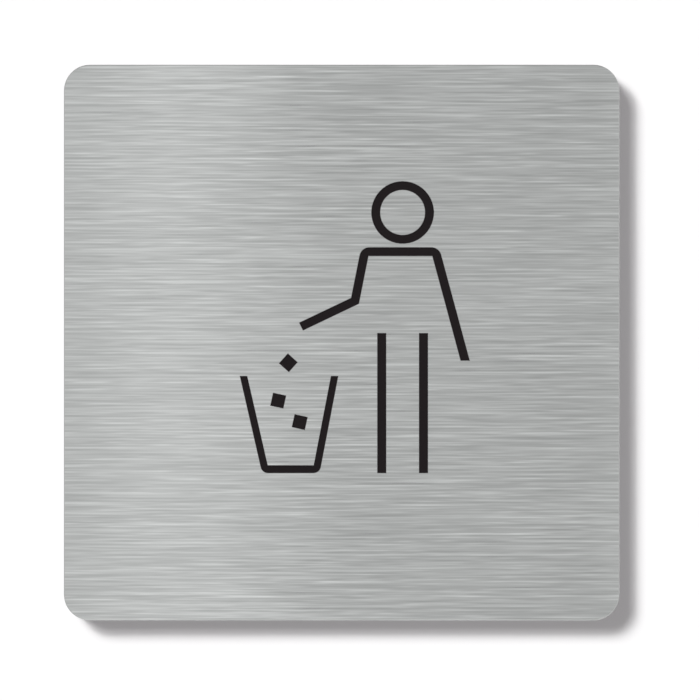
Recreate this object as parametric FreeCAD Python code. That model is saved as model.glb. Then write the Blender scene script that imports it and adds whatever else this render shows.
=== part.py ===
import FreeCAD, Part
import math
import os

from FreeCAD import Vector

# Waste bin sign: a square plate of brushed stainless steel with rounded corners. A pictogram
# of a figure dropping litter into a bin is engraved in its face and filled with black enamel.
# Three strips of foam tape on the back hold it on a wall. There are no screw holes.
# Millimetres. The wall is the plane y = 0, the face looks along -Y, +X is to the right of
# someone reading the sign, and +Z is up. The origin is the middle of the middle strip's back.

# Plate
plate_side = 150.0
plate_thickness = 2.0
plate_corner_radius = 7.0
face_edge_break = 0.2
back_edge_break = 0.1

# Foam tape, in upright strips so that water drains between them
tape_thickness = 1.5
tape_width = 19.0
tape_side_margin = 10.5
tape_end_margin = 10.0

# Engraving and its enamel: the enamel lies a little below the face, and the cutter leaves
# a fine bevel round each engraved shape
enamel_thickness = 0.2
enamel_sink = 0.1
rim_bevel = 0.08

# Pictogram, placed from the middle of the plate
ground_line_z = -35.2

# Figure: strokes of one width about an upright axis
stroke_width = 2.3
figure_axis_x = 16.45
leg_length = 37.73
leg_spacing = 11.27
shoulder_line_z = 24.54
left_shoulder_reach = 10.2
right_shoulder_reach = 8.93
shoulder_radius = 2.65
upper_arm_length = 13.55
upper_arm_lean = 11.33
forearm_length = 16.1
forearm_drop = 25.5
straight_arm_drop = 29.39
straight_arm_lean = 15.14
head_ring_radius = 7.26
head_gap = 1.02

# Bin: an open-topped outline that narrows to its floor
bin_axis_x = -14.21
bin_height = 26.14
bin_rim_width = 24.58
bin_floor_width = 13.98
bin_floor_shift = 0.46
bin_wall_stroke = 1.85
bin_floor_stroke = 2.03
bin_corner_radius = 1.93

# Litter: three squares of one size, each placed from the middle of the bin's rim as
# right, up and turn in degrees
litter_side = 3.5
litter = {
    "litter_square_upper": (-0.20, 3.60, -41.87),
    "litter_square_middle": (-2.93, -6.61, -12.45),
    "litter_square_lower": (2.88, -12.41, -12.63),
}

# Levels through the thickness, from the wall to the face
plate_back_y = -tape_thickness
face_y = plate_back_y - plate_thickness
enamel_y = face_y + enamel_sink
engraving_depth = enamel_sink + enamel_thickness
engraving_floor_y = face_y + engraving_depth

# Directions in the plane of the sign
right = Vector(1, 0, 0)
up = Vector(0, 0, 1)
inward = Vector(0, 1, 0)


def point(x, z):
    """A point of the pictogram, on the plane y = 0."""
    return Vector(x, 0, z)


def tilted(degrees_from_right):
    """The direction at an angle above +X, in the plane of the sign."""
    angle = math.radians(degrees_from_right)
    return Vector(math.cos(angle), 0, math.sin(angle))


def to_the_left(direction):
    """The direction a quarter turn anticlockwise, as someone reading the sign sees it."""
    return Vector(-direction.z, 0, direction.x)


def cross(a, b):
    """Positive where b lies anticlockwise of a."""
    return a.x * b.z - a.z * b.x


def meeting(p, p_direction, q, q_direction):
    """Where the line through p crosses the line through q."""
    along = cross(q - p, q_direction) / cross(p_direction, q_direction)
    return p + p_direction * along


def outline(corners):
    """A closed wire through corners given as (point, radius). Radius 0 is a sharp corner."""
    count = len(corners)
    arrivals = []
    middles = []
    departures = []
    for i in range(count):
        corner, radius = corners[i]
        back = (corners[i - 1][0] - corner).normalize()
        ahead = (corners[(i + 1) % count][0] - corner).normalize()
        half_angle = back.getAngle(ahead) / 2
        bisector = (back + ahead).normalize()
        arrivals.append(corner + back * (radius / math.tan(half_angle)))
        middles.append(corner + bisector * (radius / math.sin(half_angle) - radius))
        departures.append(corner + ahead * (radius / math.tan(half_angle)))
    edges = []
    for i in range(count):
        if corners[i][1] > 0:
            edges.append(Part.Arc(arrivals[i], middles[i], departures[i]).toShape())
        next_arrival = arrivals[(i + 1) % count]
        edges.append(Part.LineSegment(departures[i], next_arrival).toShape())
    return Part.Wire(edges)


def stroke(path, widths, start_cut, end_cut, outer_radius):
    """The outline of a pen stroke along straight runs. Its corners are mitred on the inside
    and rounded on the outside, by outer_radius for each corner of the path. The cuts are
    the directions of its two ends."""
    runs = [(path[i + 1] - path[i]).normalize() for i in range(len(path) - 1)]
    sides = {}
    for side in (1, -1):
        offsets = [to_the_left(run) * (side * width / 2) for run, width in zip(runs, widths)]
        line = [(meeting(path[0], start_cut, path[0] + offsets[0], runs[0]), 0)]
        for i in range(1, len(runs)):
            bend = meeting(path[i] + offsets[i - 1], runs[i - 1], path[i] + offsets[i], runs[i])
            is_outer = cross(runs[i - 1], runs[i]) * side < 0
            line.append((bend, outer_radius[i - 1] if is_outer else 0))
        line.append((meeting(path[-1], end_cut, path[-1] + offsets[-1], runs[-1]), 0))
        sides[side] = line
    return outline(sides[1] + sides[-1][::-1])


def slab(wires, front_y, back_y):
    """A solid of the first wire's outline, less the others, between two levels."""
    solid = Part.Face(wires[0]).extrude(inward * (back_y - front_y))
    for hole in wires[1:]:
        solid = solid.cut(Part.Face(hole).extrude(inward * (back_y - front_y)))
    solid.translate(inward * front_y)
    return solid


def lies_at(edge, y):
    """True for an edge that lies on the plane at y."""
    tolerance = 1e-6
    return edge.BoundBox.YMin > y - tolerance and edge.BoundBox.YMax < y + tolerance


def head_ring():
    """The figure's head: a plain ring with steel inside it."""
    outer_radius = head_ring_radius + stroke_width / 2
    shoulder_top_z = shoulder_line_z + stroke_width / 2
    centre = point(figure_axis_x, shoulder_top_z + head_gap + outer_radius)
    radii = (outer_radius, head_ring_radius - stroke_width / 2)
    return [Part.Wire([Part.Circle(centre, inward, radius).toShape()]) for radius in radii]


def shoulders_and_arms():
    """One stroke from the hand over the bin to the hand that hangs: forearm, upper arm,
    shoulders and straight arm. The hanging arm ends level."""
    left_shoulder = point(figure_axis_x - left_shoulder_reach, shoulder_line_z)
    right_shoulder = point(figure_axis_x + right_shoulder_reach, shoulder_line_z)
    elbow = left_shoulder + tilted(-90 - upper_arm_lean) * upper_arm_length
    forearm = tilted(180 + forearm_drop)
    hand = elbow + forearm * forearm_length
    straight_arm = tilted(-90 + straight_arm_lean)
    arm_length = straight_arm_drop / math.cos(math.radians(straight_arm_lean))
    hanging_hand = right_shoulder + straight_arm * arm_length
    path = [hand, elbow, left_shoulder, right_shoulder, hanging_hand]
    elbow_radius = 0
    radii = (elbow_radius, shoulder_radius, shoulder_radius)
    widths = [stroke_width] * (len(path) - 1)
    return [stroke(path, widths, to_the_left(forearm), right, radii)]


def leg(side):
    """An upright bar with square ends. Side is -1 for the left leg and 1 for the right."""
    foot = point(figure_axis_x + side * leg_spacing / 2, ground_line_z)
    return [stroke([foot, foot + up * leg_length], [stroke_width], right, right, ())]


def bin_outline():
    """One stroke down the left wall, along the floor and up the right wall, with its two
    ends cut level at the rim."""
    rim_z = ground_line_z + bin_height
    floor_z = ground_line_z + bin_floor_stroke / 2
    floor_axis_x = bin_axis_x + bin_floor_shift
    path = [
        point(bin_axis_x - bin_rim_width / 2, rim_z),
        point(floor_axis_x - bin_floor_width / 2, floor_z),
        point(floor_axis_x + bin_floor_width / 2, floor_z),
        point(bin_axis_x + bin_rim_width / 2, rim_z),
    ]
    widths = (bin_wall_stroke, bin_floor_stroke, bin_wall_stroke)
    return [stroke(path, widths, right, right, (bin_corner_radius, bin_corner_radius))]


def litter_square(right_of_axis, above_rim, turn):
    """A turned square, drawn as a short bar as wide as it is long."""
    centre = point(bin_axis_x + right_of_axis, ground_line_z + bin_height + above_rim)
    half = tilted(turn) * (litter_side / 2)
    cut = to_the_left(half)
    return [stroke([centre - half, centre + half], [litter_side], cut, cut, ())]


def pictogram():
    """The outlines of every engraved shape, by name."""
    shapes = {
        "head_ring": head_ring(),
        "shoulders_and_arms": shoulders_and_arms(),
        "left_leg": leg(-1),
        "right_leg": leg(1),
        "bin": bin_outline(),
    }
    for name, (right_of_axis, above_rim, turn) in litter.items():
        shapes[name] = litter_square(right_of_axis, above_rim, turn)
    return shapes


def sign_plate(shapes):
    """The steel plate: blank, edge breaks, engraved recesses and their bevelled rims."""
    half = plate_side / 2
    corners = [(-half, -half), (half, -half), (half, half), (-half, half)]
    blank_outline = outline([(point(x, z), plate_corner_radius) for x, z in corners])
    plate = slab([blank_outline], face_y, plate_back_y)
    plate = plate.makeChamfer(face_edge_break, [e for e in plate.Edges if lies_at(e, face_y)])
    back_edges = [e for e in plate.Edges if lies_at(e, plate_back_y)]
    plate = plate.makeChamfer(back_edge_break, back_edges)
    perimeter = [e.CenterOfMass for e in plate.Edges if lies_at(e, face_y)]
    for wires in shapes.values():
        plate = plate.cut(slab(wires, face_y, engraving_floor_y))
    rims = []
    for edge in plate.Edges:
        on_perimeter = any(edge.CenterOfMass.distanceToPoint(p) < rim_bevel for p in perimeter)
        if lies_at(edge, face_y) and not on_perimeter:
            rims.append(edge)
    return plate.makeChamfer(rim_bevel, rims)


def enamel_fill(wires):
    """Black enamel on the floor of one recess, wall to wall and a little below the face."""
    return slab(wires, enamel_y, engraving_floor_y)


def foam_tape(centre_x):
    """One upright strip of foam tape, between the wall and the plate."""
    length = plate_side - 2 * tape_end_margin
    corner = Vector(centre_x - tape_width / 2, plate_back_y, -length / 2)
    return Part.makeBox(tape_width, tape_thickness, length, corner)


def build():
    shapes = pictogram()
    solids = {"sign_plate": sign_plate(shapes)}
    for name, wires in shapes.items():
        solids["enamel_" + name] = enamel_fill(wires)
    outer_strip_x = plate_side / 2 - tape_side_margin - tape_width / 2
    solids["foam_tape_left"] = foam_tape(-outer_strip_x)
    solids["foam_tape_middle"] = foam_tape(0)
    solids["foam_tape_right"] = foam_tape(outer_strip_x)
    os.makedirs("parts", exist_ok=True)
    for name, solid in solids.items():
        solid.exportStep("parts/" + name + ".step")
        box = solid.BoundBox
        print(name, solid.ShapeType, len(solid.Solids), solid.isValid(), round(solid.Volume, 3))
        print("   low ", round(box.XMin, 3), round(box.YMin, 3), round(box.ZMin, 3))
        print("   high", round(box.XMax, 3), round(box.YMax, 3), round(box.ZMax, 3))


build()
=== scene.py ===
import math

import bmesh
import bpy
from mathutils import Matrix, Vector


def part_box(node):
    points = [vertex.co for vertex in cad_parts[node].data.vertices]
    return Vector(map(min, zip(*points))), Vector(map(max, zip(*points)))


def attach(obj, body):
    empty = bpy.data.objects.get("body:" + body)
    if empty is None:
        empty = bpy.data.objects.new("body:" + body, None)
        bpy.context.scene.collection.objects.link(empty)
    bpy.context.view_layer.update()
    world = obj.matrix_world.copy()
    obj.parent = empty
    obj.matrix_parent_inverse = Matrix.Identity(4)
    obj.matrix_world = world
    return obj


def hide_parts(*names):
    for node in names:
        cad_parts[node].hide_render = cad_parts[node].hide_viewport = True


# Waste bin sign: a square steel plate with an engraved, enamel-filled pictogram, held on a
# wall by foam tape. The wall is the plane y = 0 and the sign's face looks along -Y. Metres.

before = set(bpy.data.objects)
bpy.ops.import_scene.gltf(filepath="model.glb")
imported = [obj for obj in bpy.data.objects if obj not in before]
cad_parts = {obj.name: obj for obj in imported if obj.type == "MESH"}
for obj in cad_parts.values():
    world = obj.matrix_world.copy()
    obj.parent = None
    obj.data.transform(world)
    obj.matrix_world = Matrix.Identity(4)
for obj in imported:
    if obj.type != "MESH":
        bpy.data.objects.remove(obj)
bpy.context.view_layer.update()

# Steel plate
# One plate of stainless sheet, laser cut to a square with rounded corners. Its face was
# belt-brushed from side to side before the pictogram was engraved, which leaves fine level
# streaks. The back keeps the mill's finish, and the cut edge its fine ribs.
steel_tone = (0.491, 0.502, 0.497)
# painted light: the cut edge is lighter than the face, as if lit by the lamps high above
painted_light_cut_edge_tone = (0.58, 0.59, 0.585)
mill_tone = (0.47, 0.48, 0.475)
# the bevel that the cutter left round each engraved shape is dull, and painted dark: painted shade,
# so that it mirrors less of the room's light floor and each stroke looks as wide as its recess
painted_shade_bevel_tone = (0.36, 0.36, 0.36)
dulled_bevel_roughness = 0.70
# every engraved shape lies at least this far inside the plate's edges
engraving_margin = 0.02
# height and length of each set of streaks, and how strongly it lightens or darkens the steel
streak_sets = (
    (0.00048, 0.012, 0.68),
    (0.00065, 0.005, 0.42),
    (0.00065, 0.020, 0.51),
    (0.00080, 0.032, 0.53),
)
# how far along each row of streaks starts from the row below, as a share of their length
streak_stagger = 0.37
# where within each cell the noise is taken: this near to the cell's edge, light and dark
# streaks take turns down the face
streak_place = 0.2
# how far the strongest streaks are lightened
bright_streaks = 0.85
# how much fainter the streaks are at the plate's two sides, where the belt bites less
side_fading = 0.17
brushed_roughness = 0.30
streak_roughness = 0.12
mill_roughness = 0.40
brushed_relief = 0.000012
# how far the brushing draws out what the steel mirrors, and its direction in turns
brushed_stretch = 1.0
brushed_turn = 0.25
# how strongly the fine relief of each surface turns the light, from 0 to 1
relief_strength = 0.35
# the ribs that the laser leaves on the cut edge, and how far they change its tone
rib_width = 0.00022
rib_length = 0.006
rib_contrast = 0.5
# the mill's faint rolling lines and its cloudy patches, each as grain size and strength
rolling_grain = (0.03, 1.0, 0.0006)
rolling_contrast = 0.12
cloud_grain = (0.009, 1.0, 0.012)
cloud_contrast = 0.16
# by the cosine of its angle to the sign's axis, a surface is the face or the back where it
# looks straight along it, and the cut edge where it looks across it
straight_on = 0.9
straight_across = 0.3


def node(tree, kind, *values, settings=(), **named):
    """A node of a material or of the world. Each input takes a value or another node's
    output, by its place or by its name."""
    made = tree.nodes.new(kind)
    for name, value in dict(settings).items():
        setattr(made, name, value)
    inputs = list(zip(made.inputs, values))
    inputs += [(made.inputs[name.replace("_", " ")], value) for name, value in named.items()]
    for socket, value in inputs:
        if isinstance(value, bpy.types.NodeSocket):
            tree.links.new(value, socket)
        elif value is not None:
            socket.default_value = value
    return made


def reckon(tree, operation, *values):
    """The result of one step of arithmetic."""
    return node(tree, "ShaderNodeMath", *values, settings={"operation": operation}).outputs[0]


def lightened(tree, colour, change):
    """A colour made lighter or darker by a share of itself."""
    factor = reckon(tree, "ADD", change, 1.0)
    settings = {"operation": "SCALE"}
    return node(tree, "ShaderNodeVectorMath", colour, settings=settings, Scale=factor).outputs[0]


def chosen(tree, share, first, second):
    """The first colour where share is 0, the second where it is 1."""
    settings = {"data_type": "VECTOR"}
    made = node(tree, "ShaderNodeMix", share, settings=settings)
    for socket, value in zip(made.inputs[4:6], (first, second)):
        if isinstance(value, bpy.types.NodeSocket):
            tree.links.new(value, socket)
        else:
            socket.default_value = value
    return made.outputs[1]


def noise(tree, spot, seed, detail=0.0):
    """Smooth noise from -0.5 to 0.5, in grains one unit across. The seed picks the noise."""
    spot = node(tree, "ShaderNodeVectorMath", spot, (seed, seed, seed)).outputs[0]
    cloud = node(tree, "ShaderNodeTexNoise", Vector=spot, Scale=1.0, Detail=detail)
    return reckon(tree, "SUBTRACT", cloud.outputs["Fac"], 0.5)


def grain(tree, place, size, seed, detail=0.0):
    """Noise in grains of a size along X, Y and Z."""
    settings = {"operation": "DIVIDE"}
    spot = node(tree, "ShaderNodeVectorMath", place, size, settings=settings).outputs[0]
    return noise(tree, spot, seed, detail)


def level_streaks(tree, row, along, seed):
    """Noise in streaks that lie dead level. Row counts them up the face, and along counts
    them from side to side. Each keeps its tones along its length and fades into the next."""
    number = reckon(tree, "FLOOR", along)
    share = reckon(tree, "SUBTRACT", along, number)
    settings = {"interpolation_type": "SMOOTHSTEP"}
    share = node(tree, "ShaderNodeMapRange", share, settings=settings).outputs[0]
    tones = []
    for ahead in (0, 1):
        place = reckon(tree, "ADD", number, streak_place + ahead)
        spot = node(tree, "ShaderNodeCombineXYZ", place, None, row).outputs[0]
        tones.append(noise(tree, spot, seed))
    change = reckon(tree, "SUBTRACT", tones[1], tones[0])
    return reckon(tree, "MULTIPLY_ADD", change, share, tones[0])


def new_material(name):
    """An empty material: its tree, its object coordinates and normals, and its shader."""
    material = bpy.data.materials.new(name)
    material.use_nodes = True
    tree = material.node_tree
    tree.nodes.clear()
    shader = tree.nodes.new("ShaderNodeBsdfPrincipled")
    node(tree, "ShaderNodeOutputMaterial", shader.outputs[0])
    coordinates = tree.nodes.new("ShaderNodeTexCoord").outputs
    return material, tree, coordinates["Object"], coordinates["Normal"], shader


def finish(tree, shader, colour, roughness, height, relief):
    """Gives a surface its colour, its roughness and its fine relief, which is in metres."""
    bump = node(tree, "ShaderNodeBump", Strength=relief_strength, Distance=relief, Height=height)
    tree.links.new(colour, shader.inputs["Base Color"])
    tree.links.new(roughness, shader.inputs["Roughness"])
    tree.links.new(bump.outputs[0], shader.inputs["Normal"])


steel, tree, place, normal, shader = new_material("brushed_stainless_steel")
x, _, z = node(tree, "ShaderNodeSeparateXYZ", place).outputs
facing_back = node(tree, "ShaderNodeSeparateXYZ", normal).outputs[1]
on_face = reckon(tree, "LESS_THAN", facing_back, -straight_on)
on_back = reckon(tree, "GREATER_THAN", facing_back, straight_on)
on_cut_edge = reckon(tree, "LESS_THAN", reckon(tree, "ABSOLUTE", facing_back), straight_across)
# an engraved shape's bevel leans as the plate's edge breaks do, but lies well inside them
plate_low, plate_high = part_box("sign_plate")
half_side = (plate_high.x - plate_low.x) / 2
# halfway between what counts as the face and what counts as the cut edge
lean = (straight_on + straight_across) / 2
leaning = reckon(tree, "COMPARE", facing_back, -lean, straight_on - lean)
from_middle = reckon(tree, "MAXIMUM", reckon(tree, "ABSOLUTE", x), reckon(tree, "ABSOLUTE", z))
well_inside = reckon(tree, "LESS_THAN", from_middle, half_side - engraving_margin)
on_bevel = reckon(tree, "MULTIPLY", leaning, well_inside)

streaks = 0.0
for seed, (height, length, strength) in enumerate(streak_sets):
    # the stagger keeps seams off the face, and it changes sides so that the grain has no lean
    stagger_side = 1 if seed % 2 == 0 else -1
    row = reckon(tree, "DIVIDE", z, height)
    stagger = reckon(tree, "MULTIPLY", row, streak_stagger * stagger_side)
    along = reckon(tree, "ADD", reckon(tree, "DIVIDE", x, length), stagger)
    streak = level_streaks(tree, row, along, seed)
    streaks = reckon(tree, "MULTIPLY_ADD", streak, strength, streaks)
squared = reckon(tree, "MULTIPLY", streaks, streaks)
streaks = reckon(tree, "MULTIPLY_ADD", squared, bright_streaks, streaks)
to_side = reckon(tree, "DIVIDE", x, half_side)
bite = reckon(tree, "MULTIPLY_ADD", reckon(tree, "MULTIPLY", to_side, to_side), -side_fading, 1.0)
streaks = reckon(tree, "MULTIPLY", streaks, bite)

rolling = grain(tree, place, rolling_grain, seed=3.0)
rolling = reckon(tree, "MULTIPLY", rolling, rolling_contrast)
clouds = grain(tree, place, cloud_grain, seed=8.0, detail=3.0)
mill_marks = reckon(tree, "MULTIPLY_ADD", clouds, cloud_contrast, rolling)
ribs = grain(tree, place, (rib_width, rib_length, rib_width), seed=0.0)
ribs = reckon(tree, "MULTIPLY", ribs, rib_contrast)

marks = reckon(tree, "MULTIPLY", streaks, on_face)
marks = reckon(tree, "MULTIPLY_ADD", mill_marks, on_back, marks)
marks = reckon(tree, "MULTIPLY_ADD", ribs, on_cut_edge, marks)
# painted light: the cut edge is painted lighter than the face, so that the plate's thickness shows
tone = chosen(tree, on_cut_edge, steel_tone, painted_light_cut_edge_tone)
tone = chosen(tree, on_back, tone, mill_tone)
# painted shade: the engraved shapes' bevel is painted dark, so that it mirrors less of the room
tone = chosen(tree, on_bevel, tone, painted_shade_bevel_tone)
rough = reckon(tree, "MULTIPLY_ADD", streaks, streak_roughness, brushed_roughness)
rough = reckon(tree, "MULTIPLY_ADD", on_back, mill_roughness - brushed_roughness, rough)
rough = reckon(tree, "MULTIPLY_ADD", on_bevel, dulled_bevel_roughness - brushed_roughness, rough)
finish(tree, shader, lightened(tree, tone, marks), rough, marks, brushed_relief)
shader.inputs["Metallic"].default_value = 1.0
shader.inputs["Anisotropic"].default_value = brushed_stretch
shader.inputs["Anisotropic Rotation"].default_value = brushed_turn

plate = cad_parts["sign_plate"]
plate.data.materials.clear()
plate.data.materials.append(steel)

# Enamel
# Black enamel, wiped into the engraving and baked. It wets the walls of each recess and
# shrinks as it cures, so every stroke is a little hollow along its middle.
enamel_tone = (0.0074, 0.0054, 0.0060)
enamel_roughness = 0.34
enamel_shine = 0.1
# its fine orange peel, and the dust that dulls it in specks
peel_grain = (0.0007, 1.0, 0.0007)
peel_contrast = 0.5
peel_relief = 0.00002
dust_grain = (0.0001, 1.0, 0.0001)
dust_roughness = 0.2
# how far in from the wall of the recess the hollow reaches, and how deep it is there
hollow_reach = 0.00055
hollow_depth = 0.000045
hollow_steps = 4
# the fill's front is what faces the reader, and the hollow bends it less than this cosine
front_cosine = 0.5
# points of the solid nearer to each other than this, in metres, are one point
one_point = 1e-6

enamel, tree, place, normal, shader = new_material("black_enamel")
peel = grain(tree, place, peel_grain, seed=2.0, detail=2.0)
dust = grain(tree, place, dust_grain, seed=5.0, detail=1.0)
shade = lightened(tree, enamel_tone, reckon(tree, "MULTIPLY", peel, peel_contrast))
rough = reckon(tree, "MULTIPLY_ADD", dust, dust_roughness, enamel_roughness)
finish(tree, shader, shade, rough, peel, peel_relief)
shader.inputs["Specular IOR Level"].default_value = enamel_shine


def enamel_fill(cad_node):
    """The fill of one recess: the solid with its flat front made hollow in a few steps."""
    mesh = bmesh.new()
    mesh.from_mesh(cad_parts[cad_node].data)
    bmesh.ops.remove_doubles(mesh, verts=mesh.verts, dist=one_point)
    mesh.normal_update()
    front = [face for face in mesh.faces if face.normal.y < -straight_on]
    inset = 0.0
    sunk = 0.0
    for step in range(1, hollow_steps + 1):
        share = step / hollow_steps
        distance = hollow_reach * share ** 2
        depth = hollow_depth * (1 - (1 - share) ** 2)
        bmesh.ops.inset_region(
            mesh, faces=front, thickness=distance - inset, depth=sunk - depth,
            use_boundary=True, use_even_offset=True,
        )
        mesh.normal_update()
        inset = distance
        sunk = depth
    for face in mesh.faces:
        face.smooth = face.normal.y < -front_cosine
    filled = bpy.data.meshes.new(cad_node + "_surface")
    mesh.to_mesh(filled)
    mesh.free()
    piece = bpy.data.objects.new(cad_node + "_surface", filled)
    bpy.context.scene.collection.objects.link(piece)
    piece.data.materials.append(enamel)
    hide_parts(cad_node)
    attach(piece, "root")


for name in sorted(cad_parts):
    if name.startswith("enamel_"):
        enamel_fill(name)

# Foam tape
# Three upright strips of dark grey acrylic foam tape, cut from a roll with a knife. The
# knife drags the foam, so each cut side is a little hollow and uneven, and shows its cells.
tape_tone = (0.045, 0.047, 0.050)
tape_skin_roughness = 0.45
tape_side_roughness = 0.70
cells_per_metre = 4500.0
cell_depth = 0.8
cell_relief = 0.00014
ripple_grain = (0.004, 1.0, 0.006)
tape_contrast = 0.6
# how deep the knife's hollow is, how far it wanders, and how often in a metre
knife_waist = 0.00012
knife_wander = 0.00016
knife_grain = 220.0
knife_detail = 1.0
knife_seed = 4.0
# the two skins of a strip lie half its thickness from its middle
skin_level = 0.5
# a point lies on a cut side where it is nearly half the strip away from its middle
nearly_half = 0.499
# points along the width, the thickness and the length of a strip
strip_points = (16, 7, 110)
strip_names = ("foam_tape_left", "foam_tape_middle", "foam_tape_right")

tape, tree, place, normal, shader = new_material("foam_tape")
facing_back = node(tree, "ShaderNodeSeparateXYZ", normal).outputs[1]
on_skin = reckon(tree, "GREATER_THAN", reckon(tree, "ABSOLUTE", facing_back), straight_on)
cells = node(tree, "ShaderNodeTexVoronoi", Vector=place, Scale=cells_per_metre)
on_cut_side = reckon(tree, "SUBTRACT", 1.0, on_skin)
open_cells = reckon(tree, "MULTIPLY", cells.outputs["Distance"], on_cut_side)
ripple = grain(tree, place, ripple_grain, seed=1.0, detail=3.0)
height = reckon(tree, "MULTIPLY_ADD", open_cells, -cell_depth, ripple)
# painted shade: the foam is darker where its relief is low, most in the open cells of the cut
# sides; the ripples add tone at random
shade = lightened(tree, tape_tone, reckon(tree, "MULTIPLY", height, tape_contrast))
rougher = tape_side_roughness - tape_skin_roughness
rough = reckon(tree, "MULTIPLY_ADD", on_cut_side, rougher, tape_skin_roughness)
finish(tree, shader, shade, rough, height, cell_relief)


def tape_tree(sizes):
    """The tree that makes the strips, and the identifiers of its inputs by name."""
    tree = bpy.data.node_groups.new("foam_tape_strips", "GeometryNodeTree")
    sockets = {}
    for name, kind in sizes.items():
        sockets[name] = tree.interface.new_socket(name=name, in_out="INPUT", socket_type=kind)
    tree.interface.new_socket(name="Strips", in_out="OUTPUT", socket_type="NodeSocketGeometry")
    given = tree.nodes.new("NodeGroupInput").outputs
    width = given["Strip Width"]
    thickness = given["Strip Thickness"]
    length = given["Strip Length"]

    # one strip, with each point's place in the strip kept for the knife
    across, through, along = strip_points
    size = node(tree, "ShaderNodeCombineXYZ", width, thickness, length).outputs[0]
    strip = node(tree, "GeometryNodeMeshCube", size, across, through, along).outputs[0]
    own_place = tree.nodes.new("GeometryNodeInputPosition").outputs[0]
    kept = node(
        tree, "GeometryNodeStoreNamedAttribute", strip, Name="own_place", Value=own_place,
        settings={"data_type": "FLOAT_VECTOR", "domain": "POINT"},
    ).outputs[0]

    # the strips side by side, with the middle one at the origin
    reach = reckon(tree, "MULTIPLY", given["Strip Spacing"], (len(strip_names) - 1) / -2)
    mid_level = reckon(tree, "MULTIPLY", thickness, -skin_level)
    first = node(tree, "ShaderNodeCombineXYZ", reach, mid_level).outputs[0]
    apart = node(tree, "ShaderNodeCombineXYZ", given["Strip Spacing"]).outputs[0]
    row = node(
        tree, "GeometryNodeMeshLine", Count=len(strip_names), Start_Location=first, Offset=apart,
    ).outputs[0]
    strips = node(tree, "GeometryNodeInstanceOnPoints", row, Instance=kept).outputs[0]
    strips = node(tree, "GeometryNodeRealizeInstances", strips).outputs[0]

    # the knife: only the points of the four cut sides move, and only inwards
    own = node(
        tree, "GeometryNodeInputNamedAttribute", "own_place", settings={"data_type": "FLOAT_VECTOR"}
    ).outputs[0]
    settings = {"operation": "DIVIDE"}
    share = node(tree, "ShaderNodeVectorMath", own, size, settings=settings).outputs[0]
    side_x, level, side_z = node(tree, "ShaderNodeSeparateXYZ", share).outputs
    wander = node(
        tree, "ShaderNodeTexNoise", settings={"noise_dimensions": "4D"},
        Vector=tree.nodes.new("GeometryNodeInputPosition").outputs[0],
        W=given["Knife Seed"], Scale=knife_grain, Detail=knife_detail,
    ).outputs["Fac"]
    wander = reckon(tree, "MULTIPLY", wander, given["Knife Wander"])
    # the hollow is deepest half way through the thickness and runs out at both skins
    level_squared = reckon(tree, "MULTIPLY", level, level)
    hollow = reckon(tree, "MULTIPLY_ADD", level_squared, -1 / skin_level ** 2, 1.0)
    waist = reckon(tree, "MULTIPLY", hollow, given["Knife Waist"])
    cut = reckon(tree, "MULTIPLY", reckon(tree, "ADD", wander, waist), -1.0)
    moves = []
    for side in (side_x, side_z):
        at_side = reckon(tree, "GREATER_THAN", reckon(tree, "ABSOLUTE", side), nearly_half)
        outward = reckon(tree, "MULTIPLY", reckon(tree, "SIGN", side), at_side)
        moves.append(reckon(tree, "MULTIPLY", outward, cut))
    move = node(tree, "ShaderNodeCombineXYZ", moves[0], None, moves[1]).outputs[0]
    strips = node(tree, "GeometryNodeSetPosition", strips, Offset=move).outputs[0]

    strips = node(tree, "GeometryNodeRealizeInstances", strips).outputs[0]
    strips = node(tree, "GeometryNodeSetMaterial", strips, Material=given["Foam"]).outputs[0]
    node(tree, "NodeGroupOutput", strips)
    return tree, {name: socket.identifier for name, socket in sockets.items()}


strip_low, strip_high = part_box("foam_tape_left")
next_low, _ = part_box("foam_tape_middle")
tape_inputs = {
    "Strip Width": ("NodeSocketFloat", strip_high.x - strip_low.x),
    "Strip Thickness": ("NodeSocketFloat", strip_high.y - strip_low.y),
    "Strip Length": ("NodeSocketFloat", strip_high.z - strip_low.z),
    "Strip Spacing": ("NodeSocketFloat", next_low.x - strip_low.x),
    "Knife Waist": ("NodeSocketFloat", knife_waist),
    "Knife Wander": ("NodeSocketFloat", knife_wander),
    "Knife Seed": ("NodeSocketFloat", knife_seed),
    "Foam": ("NodeSocketMaterial", tape),
}
strip_tree, identifiers = tape_tree({name: kind for name, (kind, _) in tape_inputs.items()})
strips = bpy.data.objects.new("foam_tape_strips", bpy.data.meshes.new("foam_tape_strips"))
bpy.context.scene.collection.objects.link(strips)
cutting = strips.modifiers.new("strips", "NODES")
cutting.node_group = strip_tree
for name, (_, value) in tape_inputs.items():
    cutting[identifiers[name]] = value
evaluated = strips.evaluated_get(bpy.context.evaluated_depsgraph_get())
cut_strips = bpy.data.meshes.new_from_object(evaluated)
strips.modifiers.remove(cutting)
strips.data = cut_strips
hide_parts(*strip_names)
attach(strips, "root")

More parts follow.
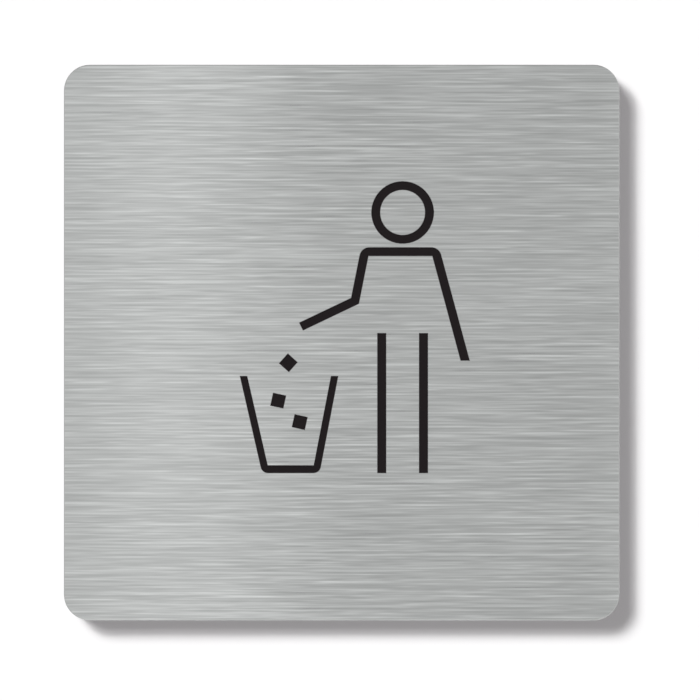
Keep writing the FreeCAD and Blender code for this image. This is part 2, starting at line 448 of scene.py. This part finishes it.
# Wall
# A plain white wall just behind the tape. It is seen only from the front, so that the back
# of the sign shows as well, and it takes the shadow that the sign throws down to the right.
wall_half = 0.4
wall_y = 0.0002
wall_white = (0.85, 0.85, 0.85, 1)
corners = [
    (-wall_half, wall_y, -wall_half), (wall_half, wall_y, -wall_half),
    (wall_half, wall_y, wall_half), (-wall_half, wall_y, wall_half),
]
wall_mesh = bpy.data.meshes.new("wall")
wall_mesh.from_pydata(corners, [], [(0, 1, 2, 3)])
wall = bpy.data.objects.new("wall", wall_mesh)
bpy.context.scene.collection.objects.link(wall)
wall.visible_glossy = False
wall.visible_diffuse = False
wall.visible_shadow = False
paint = bpy.data.materials.new("wall_paint")
paint.use_nodes = True
tree = paint.node_tree
tree.nodes.clear()
front = node(tree, "ShaderNodeBsdfDiffuse", wall_white).outputs[0]
clear = node(tree, "ShaderNodeBsdfTransparent").outputs[0]
behind = node(tree, "ShaderNodeNewGeometry").outputs["Backfacing"]
sides = node(tree, "ShaderNodeMixShader", behind, front, clear).outputs[0]
node(tree, "ShaderNodeOutputMaterial", sides)
wall_mesh.materials.append(paint)


# Light
# Three wide lamps high on the left make the soft shadow, a weak one in front fills it, and one
# behind the wall lights the back. The steel mirrors a near white room: its tall lighter and
# darker places in the face, and its light floor and dark ceiling in the edge breaks.
# how bright the room is to all that doesn't mirror it
ambient_strength = 0.06
fill_tint = (1.0, 0.961, 0.983)
# the mirrored room, as degrees to the right of straight ahead and brightness there
room = (
    (-180, 0.95), (-146, 0.9), (-135, 1.15), (-122, 0.85), (-90, 0.70), (-54, 0.9), (-43, 1.2),
    (-32, 0.9), (-12, 0.88), (-8, 0.93), (-5.5, 1.53), (-3, 0.98), (0, 0.75), (4, 1.0),
    (8, 0.51), (12, 1.4), (32, 0.9), (43, 1.2), (54, 0.9), (90, 1.05), (122, 0.85),
    (135, 1.15), (146, 0.9), (180, 0.95),
)
# the room's light floor and dark ceiling, as the rise of a direction, from -1 for straight
# down to 1 for straight up, and how many times as bright the room is there
floor_to_ceiling = ((-1, 1.4), (-0.9, 1.4), (-0.7, 1), (0.7, 1), (0.9, 0.3), (1, 0.3))


def lamp(name, towards, strength, width_degrees, tint=(1, 1, 1)):
    """A lamp far away, shining along a direction, as wide across as an angle says."""
    light = bpy.data.lights.new(name, "SUN")
    light.energy = strength
    light.color = tint
    light.angle = math.radians(width_degrees)
    holder = bpy.data.objects.new(name, light)
    holder.rotation_euler = Vector(towards).to_track_quat("-Z", "Y").to_euler()
    bpy.context.scene.collection.objects.link(holder)
    holder.visible_glossy = False


def brightness(tree, share, table):
    """The brightness at a share from 0 to 1, from a table of shares and brightnesses."""
    ramp = node(tree, "ShaderNodeValToRGB", share)
    stops = ramp.color_ramp.elements
    for place, _ in table[1:-1]:
        stops.new(place)
    for stop, (_, value) in zip(stops, table):
        stop.color = (value, value, value, 1)
    return ramp.outputs[0]


lamp("key", (1.68, 1.0, -1.51), 2.75, 11.4)
lamp("key_left", (1.57, 1.0, -0.99), 1.52, 15)
lamp("key_upper", (1.16, 1.0, -1.51), 1.74, 15)
lamp("fill", (0, 1, 0), 0.965, 4, fill_tint)
lamp("behind", (0.5, -1.0, -0.8), 3.0, 20)

world = bpy.data.worlds.new("room")
bpy.context.scene.world = world
world.use_nodes = True
tree = world.node_tree
tree.nodes.clear()
ray = node(tree, "ShaderNodeLightPath").outputs
direction = node(tree, "ShaderNodeTexCoord").outputs["Generated"]
x, y, rise = node(tree, "ShaderNodeSeparateXYZ", direction).outputs
azimuth = reckon(tree, "ARCTAN2", x, reckon(tree, "MULTIPLY", y, -1.0))
# straight ahead, and level, are in the middle of their tables
turn = reckon(tree, "MULTIPLY_ADD", azimuth, 1 / math.tau, 0.5)
bands = brightness(tree, turn, [(degrees / 360 + 0.5, value) for degrees, value in room])
height = reckon(tree, "MULTIPLY_ADD", rise, 0.5, 0.5)
levels = brightness(tree, height, [(place / 2 + 0.5, value) for place, value in floor_to_ceiling])
white = (1, 1, 1, 1)
ambient = node(tree, "ShaderNodeBackground", white, ambient_strength).outputs[0]
mirrored = node(tree, "ShaderNodeBackground", bands, levels).outputs[0]
background = node(tree, "ShaderNodeBackground", white, 1.0).outputs[0]
mirrors = reckon(tree, "MAXIMUM", ray["Is Glossy Ray"], ray["Is Transmission Ray"])
straight_from_sign = reckon(tree, "LESS_THAN", ray["Diffuse Depth"], 1.0)
mirrors = reckon(tree, "MULTIPLY", mirrors, straight_from_sign)
lit = node(tree, "ShaderNodeMixShader", mirrors, ambient, mirrored).outputs[0]
seen = node(tree, "ShaderNodeMixShader", ray["Is Camera Ray"], lit, background).outputs[0]
node(tree, "ShaderNodeOutputWorld", seen)

# Camera
# Straight in front of the sign with a long lens. It stands a little right of the sign's
# middle and below it, so that the sign sits left and high in the picture.
picture_px = 700
sign_px = 555.7
sign_middle_px = (341.7, 342.55)
lens_mm = 100
sensor_mm = 36
metres_per_px = 2 * half_side / sign_px
distance = metres_per_px * picture_px * lens_mm / sensor_mm
camera_data = bpy.data.cameras.new("camera")
camera_data.lens = lens_mm
camera_data.sensor_width = sensor_mm
camera = bpy.data.objects.new("camera", camera_data)
camera.location = (
    (picture_px / 2 - sign_middle_px[0]) * metres_per_px,
    plate_low.y - distance,
    (sign_middle_px[1] - picture_px / 2) * metres_per_px,
)
camera.rotation_euler = (math.radians(90), 0, 0)
bpy.context.scene.collection.objects.link(camera)
bpy.context.scene.camera = camera
bpy.context.scene.view_settings.view_transform = "Standard"
